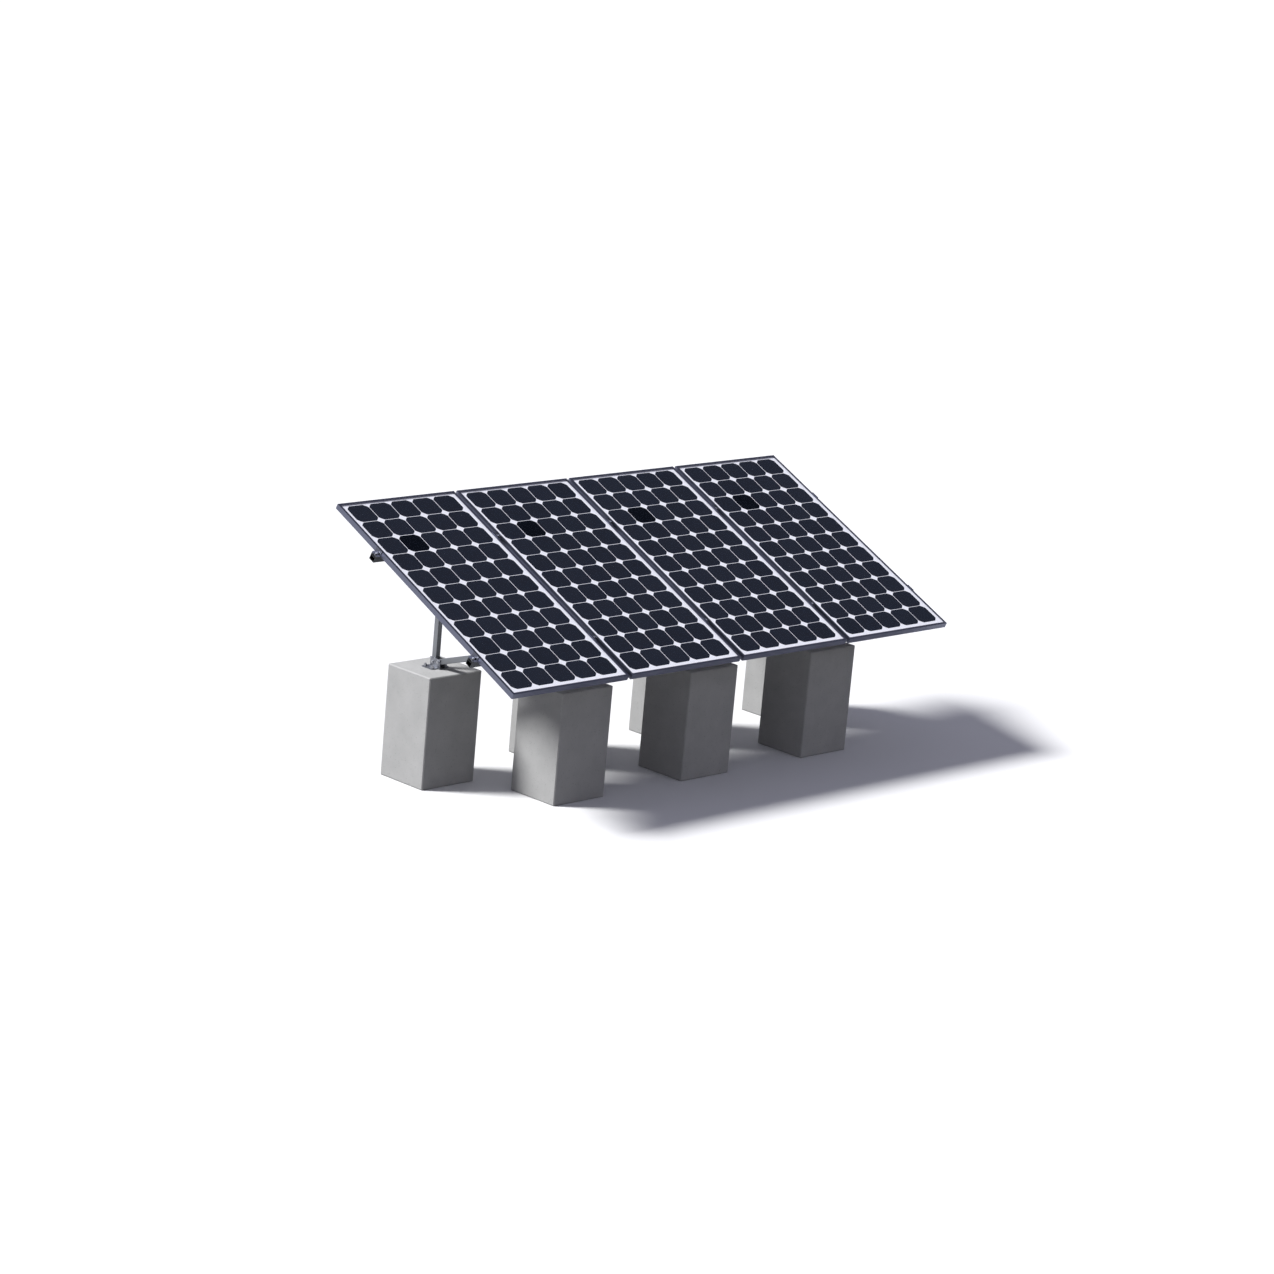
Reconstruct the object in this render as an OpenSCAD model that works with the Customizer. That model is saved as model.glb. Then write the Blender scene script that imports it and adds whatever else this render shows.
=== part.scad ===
// Ground mount with four framed solar modules.
// X runs along the row, Y runs back under the slope and Z is up.
// The origin is on the ground, under the middle of the whole row.

/* [Modules] */
// Number of modules side by side
module_count = 4; // [3:1:4]
// Width of a module, along the row
module_w = 830; // [800:5:860]
// Length of a module, up the slope
module_l = 1620; // [1590:5:1680]
// Gap between two modules
module_gap = 22; // [18:1:30]
// Height of the module frame
frame_h = 30; // [28:1:36]
// Width of the frame's lip over the glass
lip_w = 14; // [12:1:18]
// Width of the frame's bottom flange
flange_w = 25; // [20:1:32]
// Wall of the frame profile
frame_wall = 1.6; // [1.2:0.1:2]
// Depth of the hollow chamber under the glass
chamber_h = 12; // [9:1:14]
// Thickness of the front glass
glass_t = 3.2; // [2.8:0.1:4]
// Thickness of a solar cell
cell_t = 0.4; // [0.3:0.1:0.6]
// Thickness of the back sheet
sheet_t = 0.6; // [0.4:0.1:1]
// Length of each leg of a corner key
key_leg = 40; // [30:1:60]

/* [Cells] */
// Columns of cells in a module
cell_cols = 5; // [4:1:5]
// Rows of cells in a module
cell_rows = 10; // [8:1:10]
// Side of a cell
cell_size = 148; // [144:1:150]
// Diameter of the round wafer that the cell is cut from
wafer_d = 181; // [176:1:200]
// Gap between two cells
cell_gap = 6; // [3:0.5:7]

/* [Junction box] */
// Width of the junction box
jbox_w = 110; // [90:1:130]
// Length of the junction box
jbox_l = 90; // [70:1:110]
// Depth of the junction box
jbox_h = 18; // [14:1:20]
// Distance from the module's upper end to the middle of the box
jbox_in = 150; // [120:1:200]
// Diameter of a cable gland
gland_d = 13; // [10:1:13]
// Length of a cable gland
gland_l = 18; // [12:1:24]

/* [Slope] */
// Tilt of the modules
tilt = 25; // [24:1:30]
// Height of the modules' lower edge above the blocks
edge_height = 116; // [110:2:180]
// Distance from the lower edge to the lower rail, up the slope
rail_low = 330; // [300:5:360]
// Distance from the lower edge to the upper rail, up the slope
rail_high = 1220; // [1150:5:1260]

/* [Rails and rafters] */
// Width and height of a module rail
rail_size = 40; // [38:1:45]
// Wall of a module rail
rail_wall = 2.5; // [2:0.1:3]
// How far a rail stands out past the modules
rail_out = 28; // [24:1:60]
// Width of the hollow under the rail's slot
slot_in_w = 20; // [17:0.5:22]
// Height of the hollow under the rail's slot
slot_in_h = 8; // [7:0.5:9]
// Height of a rafter
rafter_h = 40; // [36:1:44]
// Wall of a rafter
rafter_wall = 2.5; // [2:0.1:4]
// How far a rafter runs past the middle of a rail
rafter_out = 110; // [60:5:140]
// Width and height of the front bearer
bearer_size = 40; // [36:1:44]
// Wall of the front bearer
bearer_wall = 3; // [2:0.1:4]
// How far the front bearer runs past the outer rafters
bearer_out = 60; // [50:5:120]

/* [Posts] */
// Number of rear posts, each with its rafter
rear_posts = 4; // [3:1:4]
// Number of front posts
front_posts = 3; // [2:1:3]
// Side of a square post
post_size = 32; // [30:1:34]
// Wall of a post
post_wall = 3; // [2:0.1:4]
// Outer corner radius of a post
post_round = 3; // [1:0.1:4]
// Distance from the row's ends to the outer rear posts
rear_inset = 291; // [250:1:340]
// Distance from the row's ends to the outer front posts
front_inset = 733; // [690:1:780]
// Distance from the lower edge back to the front posts, level
front_reach = 367; // [350:1:400]
// Distance from the lower edge back to the rear posts, level
rear_reach = 922; // [880:1:960]

/* [Base shoes] */
// Length of the shoe's plate, along the row
plate_w = 124; // [118:1:140]
// Depth of the shoe's plate
plate_d = 84; // [80:1:100]
// Thickness of the shoe's plate
plate_t = 6; // [5:0.5:10]
// Wall of the shoe's socket
socket_wall = 5; // [4:0.5:6]
// Height of the shoe above the block
shoe_h = 55; // [50:1:58]
// Height of the collar round the socket's mouth
collar_h = 6; // [4:0.5:8]
// How far the collar stands out
collar_out = 2; // [1:0.5:3]
// Height of the clamping screws above the block
screw_z = 33; // [28:1:36]
// How far a rear shoe's fork reaches forward from the post's middle
fork_reach = 57; // [54:1:62]
// Distance from the post's middle forward to the fork's bolt
fork_bolt_y = 42; // [40:1:44]
// Height of the fork's bolt above the block
fork_bolt_z = 39; // [36:1:42]

/* [Ties] */
// Distance from the lower edge to a tie's upper bolt, up the slope
tie_high = 390; // [385:5:420]
// Distance between the two bolts of a tie's plates
tie_plate_l = 60; // [56:1:70]
// Width of a tie's plates
tie_plate_w = 34; // [30:1:38]
// How far a tie runs past its bolt in the fork
tie_tail = 12; // [10:0.5:13]

/* [Heads] */
// Thickness of a rear head bracket
head_t = 5; // [4:0.5:6]
// How far the head bracket reaches down the post
head_drop = 46; // [40:1:60]
// How far the head bracket's cheeks stand out past the post
cheek_out = 1; // [0:0.5:3]
// Thickness of the cradle under the front bearer
cradle_t = 5; // [4:0.5:7]
// Length of the cradle, along the row
cradle_w = 64; // [56:1:80]
// Height of the cradle's lips
cradle_lip = 26; // [22:1:30]
// Height of the front saddle's socket on its post
saddle_h = 30; // [24:1:32]

/* [Cleats and clamps] */
// Length of each leg of an angle cleat
cleat_leg = 36; // [32:1:38]
// Width of an angle cleat
cleat_w = 30; // [24:1:30]
// Thickness of an angle cleat
cleat_t = 4; // [3:0.5:5]
// Distance from a cleat's corner to its holes
cleat_hole = 20; // [18:0.5:22]
// Length of a module clamp, up the slope
clamp_l = 50; // [40:1:70]
// Thickness of a module clamp
clamp_t = 3; // [2:0.5:4]
// How far a clamp grips the frame's lip
clamp_grip = 8; // [6:0.5:10]
// Depth of the pocket in a middle clamp
pocket_h = 12; // [10:0.5:16]
// Width of an end clamp's foot
foot_w = 22; // [20:0.5:23]

/* [Blocks] */
// Width of a concrete block, along the row
block_w = 370; // [340:5:400]
// Depth of a concrete block
block_d = 340; // [320:5:380]
// Height of a concrete block
block_h = 618; // [600:2:620]
// Chamfer of a block's edges
block_chamfer = 5; // [2:1:12]

/* [Fasteners] */
// Diameter of the bolts and screws
bolt_d = 8; // [6:1:8]
// Diameter of the anchors in the blocks
anchor_d = 10; // [8:1:10]
// Depth of an anchor in its block
anchor_depth = 90; // [70:5:120]
// Distance from the post's middle to the anchors, along the row
anchor_x = 46; // [44:1:48]
// Distance from the post's middle to the anchors, across the row
anchor_y = 28; // [28:1:30]

/* [Hidden] */
// How much wider a bolt hole is than its bolt
hole_play = 0.6;
// Play each side where one profile slides into another
fit = 0.3;
// How much wider a slot is than its bolt
slot_play = 1;
// Posts are cut to this length step
cut_step = 0.5;
// Room between the laminate's edge and the frame's wall
laminate_play = 1.2;
// Length that a cutter runs past a face
over = 1;
// Sides of a hexagon head
hex = 6;
$fn = 48;

row_w = module_count * module_w + (module_count - 1) * module_gap;
run = module_l * cos(tilt) + frame_h * sin(tilt);
edge_y = -run / 2;
edge_z = block_h + edge_height;
laminate_t = glass_t + cell_t + sheet_t;
laminate_w = module_w - 2 * (frame_wall + laminate_play);
laminate_l = module_l - 2 * (frame_wall + laminate_play);
shelf_z = -frame_wall - laminate_t;
chamber_top = shelf_z - frame_wall;
pitch = cell_size + cell_gap;
rail_z = -frame_h;
rafter_z = rail_z - rail_size;
bearer_z = rafter_z - rafter_h;
cradle_z = bearer_z - bearer_size;
rafter_axis = rafter_h / 2 - rafter_z;
rafter_w = post_size;
socket_in = post_size + 2 * fit;
socket_w = socket_in + 2 * socket_wall;
hole_d = bolt_d + hole_play;
slot_w = bolt_d + slot_play;
rail_l = row_w + 2 * rail_out;
bearer_l = row_w - 2 * rear_inset + 2 * bearer_out;
// Place up the slope of something at a given depth above a post
function slope_at(reach, depth) = (reach - depth * sin(tilt)) / cos(tilt);
// Height above the ground of the plane at a given depth over a post
function height_at(reach, depth) = edge_z + reach * tan(tilt) - depth / cos(tilt);
// A post's top, at or just under a height
function cut_down(top) = floor(top / cut_step) * cut_step;
bearer_v = slope_at(front_reach, -cradle_z);
web_gap = post_size / 2 * tan(tilt) + fit;
rear_top = cut_down(height_at(rear_reach, -bearer_z) - web_gap - head_t);
pivot_rise = height_at(rear_reach, rafter_axis) - rear_top;
front_cut = height_at(front_reach, cradle_t - cradle_z);
front_top = cut_down(front_cut - socket_w / 2 * tan(tilt));
post_foot = block_h + plate_t;
// The ties' axis, from the bolt in the fork up to the middle of the rafter
tie_foot = [edge_y + rear_reach - fork_bolt_y, block_h + fork_bolt_z];
tie_top = [edge_y + tie_high * cos(tilt) + rafter_axis * sin(tilt),
    edge_z + tie_high * sin(tilt) - rafter_axis * cos(tilt)];
tie_l = norm(tie_top - tie_foot);
tie_rise = atan2(tie_top[1] - tie_foot[1], tie_foot[0] - tie_top[0]);
// Evenly spaced places along the row
function spread(count, inset) =
    [for (i = [0:count - 1]) -row_w / 2 + inset + i * (row_w - 2 * inset) / (count - 1)];
rear_x = spread(rear_posts, rear_inset);
front_x = spread(front_posts, front_inset);
module_x = [for (i = [0:module_count - 1]) -row_w / 2 + module_w / 2 + i * (module_w + module_gap)];
seam_x = [for (i = [1:module_count - 1]) -row_w / 2 - module_gap / 2 + i * (module_w + module_gap)];
rails_v = [rail_low, rail_high];
feet = concat([for (x = rear_x) [x, rear_reach]], [for (x = front_x) [x, front_reach]]);

// Standard sizes of a hexagon bolt, from its diameter
function head_w(d) = 1.85 * d;
function head_h(d) = 0.64 * d;
function nut_h(d) = 0.8 * d;
function washer_w(d) = 2 * d;
function washer_h(d) = 0.2 * d;

// The slope's own frame: X along the row, Y up the slope, Z square to the glass
module on_slope() {
    translate([0, edge_y, edge_z]) rotate([tilt, 0, 0]) children();
}

// The top of one block, under the middle of its post
module on_block(foot) {
    translate([foot[0], edge_y + foot[1], block_h]) children();
}

module rounded(w, d, r) {
    square([w - 2 * r, d], center = true);
    square([w, d - 2 * r], center = true);
    for (x = [-1, 1], y = [-1, 1]) {
        translate([x * (w / 2 - r), y * (d / 2 - r)]) circle(r);
    }
}

module tube_outline(w, d, wall, r) {
    difference() {
        rounded(w, d, r);
        square([w - 2 * wall, d - 2 * wall], center = true);
    }
}

// A bolt with its washers and nut, the head on the +Z side of what it holds
module bolt(d, grip) {
    cylinder(d = washer_w(d), h = washer_h(d));
    translate([0, 0, washer_h(d)]) cylinder(d = head_w(d), h = head_h(d), $fn = hex);
    translate([0, 0, -grip - washer_h(d)]) cylinder(d = washer_w(d), h = washer_h(d));
    translate([0, 0, -grip - washer_h(d) - nut_h(d)]) cylinder(d = head_w(d), h = nut_h(d), $fn = hex);
    translate([0, 0, -grip - washer_h(d) - nut_h(d) - d / 4])
        cylinder(d = d, h = grip + 2 * washer_h(d) + nut_h(d) + d / 4);
}

// A screw that ends in what it holds
module screw(d, l) {
    cylinder(d = washer_w(d), h = washer_h(d));
    translate([0, 0, washer_h(d)]) cylinder(d = head_w(d), h = head_h(d), $fn = hex);
    translate([0, 0, -l]) cylinder(d = d, h = l + washer_h(d));
}

module along_x() {
    rotate([0, -90, 0]) children();
}

module along_y() {
    rotate([90, 0, 0]) children();
}

module hole(d, l) {
    cylinder(d = d, h = l, center = true);
}

// Concrete blocks
module anchor_places() {
    for (x = [-1, 1], y = [-1, 1]) translate([x * anchor_x, y * anchor_y, 0]) children();
}

module chamfered(w, d) {
    c = block_chamfer;
    polygon([[-w / 2 + c, -d / 2], [w / 2 - c, -d / 2], [w / 2, -d / 2 + c], [w / 2, d / 2 - c],
        [w / 2 - c, d / 2], [-w / 2 + c, d / 2], [-w / 2, d / 2 - c], [-w / 2, -d / 2 + c]]);
}

module block(foot) {
    color([0.78, 0.77, 0.76]) on_block(foot) difference() {
        intersection() {
            translate([0, 0, -block_h]) linear_extrude(block_h) chamfered(block_w, block_d);
            translate([0, block_d / 2, -block_h / 2]) rotate([90, 0, 0])
                linear_extrude(block_d) chamfered(block_w, block_h);
            translate([-block_w / 2, 0, -block_h / 2]) rotate([90, 0, 90])
                linear_extrude(block_w) chamfered(block_d, block_h);
        }
        anchor_places() translate([0, 0, -anchor_depth - over])
            cylinder(d = anchor_d + hole_play, h = anchor_depth + 2 * over);
    }
}

module anchor_bolts() {
    stud = plate_t + washer_h(anchor_d) + nut_h(anchor_d) + anchor_d / 2;
    color([0.72, 0.74, 0.77]) for (foot = feet) on_block(foot) anchor_places() {
        translate([0, 0, -anchor_depth]) cylinder(d = anchor_d, h = anchor_depth + stud);
        translate([0, 0, plate_t]) cylinder(d = washer_w(anchor_d), h = washer_h(anchor_d));
        translate([0, 0, plate_t + washer_h(anchor_d)])
            cylinder(d = head_w(anchor_d), h = nut_h(anchor_d), $fn = hex);
    }
}

// Base shoes, posts and ties
// A shoe. On a rear one a fork stands in front of the socket and takes the tie's foot
module shoe(foot, forked) {
    color([0.55, 0.56, 0.6]) on_block(foot) difference() {
        union() {
            linear_extrude(plate_t) rounded(plate_w, plate_d, plate_t);
            linear_extrude(shoe_h) rounded(socket_w, socket_w, post_round);
            translate([0, 0, shoe_h - collar_h]) linear_extrude(collar_h)
                rounded(socket_w + 2 * collar_out, socket_w + 2 * collar_out, post_round);
            if (forked) translate([-socket_w / 2, -fork_reach, 0]) cube([socket_w, fork_reach, shoe_h]);
        }
        translate([-socket_in / 2, -socket_in / 2, plate_t]) cube([socket_in, socket_in, shoe_h]);
        anchor_places() hole(anchor_d + hole_play, 3 * plate_t);
        if (forked) {
            translate([-socket_in / 2, -fork_reach - over, plate_t])
                cube([socket_in, fork_reach + over - socket_w / 2, shoe_h]);
            translate([0, -fork_bolt_y, fork_bolt_z]) along_x() hole(hole_d, 2 * socket_w);
        }
        for (turn = [0:90:270]) rotate(turn) translate([0, -socket_w / 2, screw_z])
            along_y() hole(hole_d, 3 * socket_wall);
    }
}

// A post, drilled for its shoe's screws. The children drill it for what it carries, from its top
module post(foot, top) {
    color([0.62, 0.63, 0.66]) translate([foot[0], edge_y + foot[1], 0]) difference() {
        translate([0, 0, post_foot]) linear_extrude(top - post_foot)
            tube_outline(post_size, post_size, post_wall, post_round);
        for (turn = [0:90:270]) rotate(turn) translate([0, -post_size / 2, block_h + screw_z])
            along_y() hole(hole_d, 3 * post_wall);
        translate([0, 0, top]) children();
    }
}

module head_hole() {
    translate([0, 0, -head_drop / 2]) along_x() hole(hole_d, 2 * post_size);
}

module saddle_hole() {
    translate([0, 0, -saddle_h / 2]) along_y() hole(hole_d, 2 * socket_w);
}

// A socket's screws sit on its left side and on its front, or behind where a fork is in the way
module shoe_screws() {
    grip = socket_wall + fit + post_wall + fit;
    color([0.72, 0.74, 0.77]) for (i = [0:len(feet) - 1]) {
        on_block(feet[i]) for (turn = [-90, i < rear_posts ? 180 : 0]) rotate(turn)
            translate([0, -socket_w / 2, screw_z]) along_y() screw(bolt_d, grip);
    }
}

// A tie's own frame: its bolt in the fork at the origin, Z up along it and X along the row
module on_tie(x) {
    translate([x, tie_foot[0], tie_foot[1]]) rotate([90 - tie_rise, 0, 0]) children();
}

// A tie runs from a rear post's foot forward and up to the rafter, whose underside cuts its end
module foot_tie(x) {
    difference() {
        on_tie(x) translate([0, 0, -tie_tail]) linear_extrude(tie_l + tie_tail)
            tube_outline(post_size, post_size, post_wall, post_round);
        on_slope() translate([-row_w / 2, 0, bearer_z - fit]) cube([row_w, module_l, 2 * rafter_h]);
        on_tie(x) for (z = [0, tie_l - tie_plate_l]) translate([0, 0, z]) along_x() hole(hole_d, 2 * post_size);
    }
}

module foot_ties() {
    color([0.6, 0.61, 0.64]) for (x = rear_x) foot_tie(x);
}

// Two plates join a tie to its rafter
module tie_plates(x) {
    on_tie(x) for (side = [-rafter_w / 2 - head_t, rafter_w / 2]) translate([side, 0, tie_l])
        rotate([90, 0, 90]) linear_extrude(head_t) difference() {
            hull() for (z = [0, -tie_plate_l]) translate([0, z]) circle(d = tie_plate_w);
            for (z = [0, -tie_plate_l]) translate([0, z]) circle(d = hole_d);
        }
}

// Rear head brackets, which let the rafters lie at the tilt; each stands on its post's top
module head_cheek() {
    w = post_size + 2 * cheek_out;
    translate([-w / 2, -head_drop]) square([w, head_drop + pivot_rise]);
    translate([0, pivot_rise]) circle(d = w);
}

module head_bracket() {
    inner = post_size + 2 * fit;
    difference() {
        union() {
            for (x = [-inner / 2 - head_t, inner / 2]) translate([x, 0, 0]) rotate([90, 0, 90])
                linear_extrude(head_t) head_cheek();
            translate([-inner / 2 - over / 2, -post_size / 2, 0]) cube([inner + over, post_size, head_t]);
        }
        for (z = [pivot_rise, -head_drop / 2]) translate([0, 0, z]) along_x() hole(hole_d, 3 * post_size);
    }
}

module head_brackets() {
    color([0.55, 0.56, 0.6]) for (x = rear_x) {
        translate([x, edge_y + rear_reach, rear_top]) head_bracket();
        tie_plates(x);
    }
}

// Front saddles, each a socket on its post under a tilted cradle
module cradle() {
    inner = bearer_size + 2 * fit;
    translate([-cradle_w / 2, bearer_v - inner / 2 - cradle_t, cradle_z - cradle_t]) {
        cube([cradle_w, inner + 2 * cradle_t, cradle_t]);
        for (y = [0, inner + cradle_t]) translate([0, y, 0])
            cube([cradle_w, cradle_t, cradle_t + cradle_lip]);
    }
}

module cradle_bolt_places() {
    for (x = [-1, 1]) translate([x * cradle_w / 4, bearer_v, cradle_z + cradle_lip / 2]) children();
}

module front_saddle() {
    difference() {
        union() {
            intersection() {
                translate([0, edge_y + front_reach, front_top - saddle_h])
                    linear_extrude(front_cut) rounded(socket_w, socket_w, post_round);
                on_slope() translate([-row_w / 2, 0, cradle_z - cradle_t - row_w])
                    cube([row_w, module_l, row_w + cradle_t / 2]);
            }
            on_slope() cradle();
        }
        translate([-socket_in / 2, edge_y + front_reach - socket_in / 2, front_top - saddle_h - over])
            cube([socket_in, socket_in, saddle_h + over]);
        translate([0, edge_y + front_reach, front_top]) saddle_hole();
        on_slope() cradle_bolt_places() along_y() hole(hole_d, 2 * bearer_size);
    }
}

module front_saddles() {
    color([0.55, 0.56, 0.6]) for (x = front_x) translate([x, 0, 0]) front_saddle();
}

// Where a rafter crosses a rail or the bearer
module cleat() {
    difference() {
        union() {
            translate([0, -cleat_w / 2, 0]) cube([cleat_leg, cleat_w, cleat_t]);
            translate([0, -cleat_w / 2, 0]) cube([cleat_t, cleat_w, cleat_leg]);
        }
        translate([cleat_hole, 0, 0]) hole(hole_d, 3 * cleat_t);
        translate([0, 0, cleat_hole]) along_x() hole(hole_d, 3 * cleat_t);
    }
}

module rail_cleat_places() {
    on_slope() for (x = rear_x, v = rails_v) translate([x, v - rail_size / 2, rafter_z])
        rotate(-90) children();
}

module bearer_cleat_places() {
    on_slope() for (x = rear_x, side = [0, 180]) translate([x, bearer_v, bearer_z]) rotate(side)
        translate([rafter_w / 2, 0, 0]) children();
}

module angle_cleats() {
    color([0.6, 0.61, 0.64]) {
        rail_cleat_places() cleat();
        bearer_cleat_places() cleat();
    }
}

module rafter_outline() {
    translate([0, rafter_z - rafter_h / 2]) difference() {
        square([rafter_w, rafter_h], center = true);
        square([rafter_w - 2 * rafter_wall, rafter_h - 2 * rafter_wall], center = true);
    }
}

module rafter(x) {
    color([0.6, 0.61, 0.64]) on_slope() difference() {
        translate([x, rail_high + rafter_out, 0]) rotate([90, 0, 0])
            linear_extrude(rail_high - rail_low + 2 * rafter_out) rafter_outline();
        for (v = rails_v) translate([x, v - rail_size / 2 - cleat_hole, rafter_z]) hole(hole_d, 3 * rafter_h);
        for (v = [slope_at(rear_reach, rafter_axis), tie_high]) translate([x, v, -rafter_axis])
            along_x() hole(hole_d, 2 * rafter_w);
        translate([x, bearer_v, bearer_z + cleat_hole]) along_x() hole(hole_d, 2 * rafter_w);
    }
}

module rail_outline() {
    slot_box_w = slot_in_w + 2 * rail_wall;
    slot_box_h = slot_in_h + 2 * rail_wall;
    difference() {
        translate([-rail_size / 2, -rail_size]) square(rail_size);
        difference() {
            translate([-rail_size / 2 + rail_wall, -rail_size + rail_wall]) square(rail_size - 2 * rail_wall);
            translate([-slot_box_w / 2, -slot_box_h]) square([slot_box_w, slot_box_h]);
        }
        translate([-slot_in_w / 2, -rail_wall - slot_in_h]) square([slot_in_w, slot_in_h]);
        translate([-slot_w / 2, -rail_wall - over]) square([slot_w, rail_wall + 2 * over]);
    }
}

module rail(v) {
    color([0.5, 0.51, 0.54]) on_slope() difference() {
        translate([-rail_l / 2, v, rail_z]) rotate([90, 0, 90]) linear_extrude(rail_l) rail_outline();
        for (x = rear_x) translate([x, v, rafter_z + cleat_hole]) along_y() hole(hole_d, 2 * rail_size);
    }
}

module front_bearer() {
    color([0.6, 0.61, 0.64]) on_slope() difference() {
        translate([-bearer_l / 2, bearer_v, bearer_z - bearer_size / 2]) rotate([90, 0, 90])
            linear_extrude(bearer_l) tube_outline(bearer_size, bearer_size, bearer_wall, bearer_wall / 2);
        for (x = rear_x, side = [-1, 1])
            translate([x + side * (rafter_w / 2 + cleat_hole), bearer_v, cradle_z])
                hole(hole_d, 3 * bearer_size);
        for (x = front_x) translate([x, 0, 0]) cradle_bolt_places() along_y() hole(hole_d, 2 * bearer_size);
    }
}

// All through bolts of the stand
module tie_bolts() {
    plates = rafter_w + 2 * head_t;
    for (x = rear_x) on_tie(x) {
        translate([-socket_w / 2, 0, 0]) along_x() bolt(bolt_d, socket_w);
        for (z = [tie_l - tie_plate_l, tie_l]) translate([-plates / 2, 0, z]) along_x() bolt(bolt_d, plates);
    }
}

module head_bolts() {
    grip = post_size + 2 * fit + 2 * head_t;
    for (x = rear_x, z = [pivot_rise, -head_drop / 2])
        translate([x - grip / 2, edge_y + rear_reach, rear_top + z]) along_x() bolt(bolt_d, grip);
}

module saddle_bolts() {
    lips = bearer_size + 2 * fit + 2 * cradle_t;
    for (x = front_x) {
        translate([x, edge_y + front_reach - socket_w / 2, front_top - saddle_h / 2])
            along_y() bolt(bolt_d, socket_w);
        on_slope() translate([x, -lips / 2, 0]) cradle_bolt_places() along_y() bolt(bolt_d, lips);
    }
}

module cleat_bolts() {
    rail_cleat_places() {
        translate([cleat_hole, 0, cleat_t]) bolt(bolt_d, cleat_t + rafter_h);
        translate([cleat_t, 0, cleat_hole]) rotate([0, 90, 0]) bolt(bolt_d, cleat_t + rail_size);
    }
    bearer_cleat_places() translate([cleat_hole, 0, cleat_t]) bolt(bolt_d, cleat_t + bearer_size);
    on_slope() for (x = rear_x) translate([x - rafter_w / 2 - cleat_t, bearer_v, bearer_z + cleat_hole])
        along_x() bolt(bolt_d, rafter_w + 2 * cleat_t);
}

module frame_bolts() {
    color([0.72, 0.74, 0.77]) {
        tie_bolts();
        head_bolts();
        saddle_bolts();
        cleat_bolts();
    }
}

// Clamps that hold the modules on the rails
module mid_clamp_outline() {
    w = module_gap - 2 * fit;
    difference() {
        union() {
            translate([-w / 2 - clamp_grip, 0]) square([w + 2 * clamp_grip, clamp_t]);
            translate([-w / 2, -pocket_h]) square([w, pocket_h + clamp_t]);
        }
        translate([-w / 2 + clamp_t, -pocket_h + clamp_t]) square([w - 2 * clamp_t, pocket_h + clamp_t]);
    }
}

module end_clamp_outline() {
    translate([-clamp_grip, 0]) square([clamp_grip + clamp_t, clamp_t]);
    translate([0, -frame_h]) square([clamp_t, frame_h + clamp_t]);
    translate([0, -frame_h]) square([foot_w, clamp_t]);
}

module clamp_body(floor_z, x) {
    difference() {
        rotate([90, 0, 0]) linear_extrude(clamp_l, center = true) children();
        translate([x, 0, floor_z]) hole(hole_d, 3 * clamp_t);
    }
}

end_bolt_x = (foot_w + clamp_t) / 2 + clamp_t / 4;
module mid_clamps() {
    color([0.36, 0.38, 0.48]) on_slope() for (x = seam_x, v = rails_v) translate([x, v, 0])
        clamp_body(-pocket_h, 0) mid_clamp_outline();
}

module end_clamp_places() {
    on_slope() for (side = [0, 1], v = rails_v) mirror([side, 0, 0]) translate([row_w / 2, v, 0]) children();
}

module end_clamps() {
    color([0.36, 0.38, 0.48]) end_clamp_places() clamp_body(-frame_h, end_bolt_x) end_clamp_outline();
}

// A bolt whose flat head is caught under the rail's slot, with its nut on the clamp
module clamp_bolt(seat_z) {
    foot_z = rail_z - rail_wall;
    nut_w = head_w(bolt_d);
    translate([0, 0, foot_z - slot_in_h / 2]) linear_extrude(slot_in_h / 2)
        square([nut_w, slot_in_w - 2 * fit], center = true);
    translate([0, 0, foot_z - over])
        cylinder(d = bolt_d, h = seat_z - foot_z + over + nut_h(bolt_d) + bolt_d / 8);
    translate([0, 0, seat_z]) cylinder(d = head_w(bolt_d), h = nut_h(bolt_d), $fn = hex);
}

module clamp_bolts() {
    color([0.72, 0.74, 0.77]) {
        on_slope() for (x = seam_x, v = rails_v) translate([x, v, 0]) clamp_bolt(clamp_t - pocket_h);
        end_clamp_places() translate([end_bolt_x, 0, 0]) clamp_bolt(clamp_t - frame_h);
    }
}

// Modules: hollow frame profiles with mitred ends round the laminate
module frame_outline() {
    translate([0, -frame_h]) square([frame_wall, frame_h]);
    translate([0, -frame_wall]) square([lip_w, frame_wall]);
    translate([0, chamber_top]) square([lip_w, frame_wall]);
    translate([lip_w - frame_wall, chamber_top - chamber_h]) square([frame_wall, chamber_h]);
    translate([0, chamber_top - chamber_h - frame_wall]) square([lip_w, frame_wall]);
    translate([0, -frame_h]) square([flange_w, frame_wall]);
}

// One frame profile with its outer side on the Y axis and its middle at the origin
module frame_profile(l) {
    intersection() {
        rotate([90, 0, 0]) linear_extrude(l, center = true) frame_outline();
        translate([0, 0, -frame_h - over]) linear_extrude(frame_h + 2 * over)
            polygon([[0, -l / 2], [0, l / 2], [flange_w, l / 2 - flange_w], [flange_w, flange_w - l / 2]]);
    }
}

module mounting_slot() {
    linear_extrude(3 * frame_wall, center = true) {
        square([slot_w, slot_w / 2], center = true);
        for (y = [-1, 1]) translate([0, y * slot_w / 4]) circle(d = slot_w);
    }
}

module on_module(x) {
    on_slope() translate([x, module_l / 2, 0]) children();
}

module module_sides(x) {
    color([0.42, 0.44, 0.52]) on_module(x) for (side = [0, 180]) rotate(side) translate([-module_w / 2, 0, 0])
        difference() {
            frame_profile(module_l);
            for (y = [-1, 1]) translate([(frame_wall + flange_w) / 2, y * module_l / 4, -frame_h])
                mounting_slot();
        }
}

module module_ends(x) {
    color([0.42, 0.44, 0.52]) on_module(x) for (side = [90, 270]) rotate(side)
        translate([-module_l / 2, 0, 0]) frame_profile(module_w);
}

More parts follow.
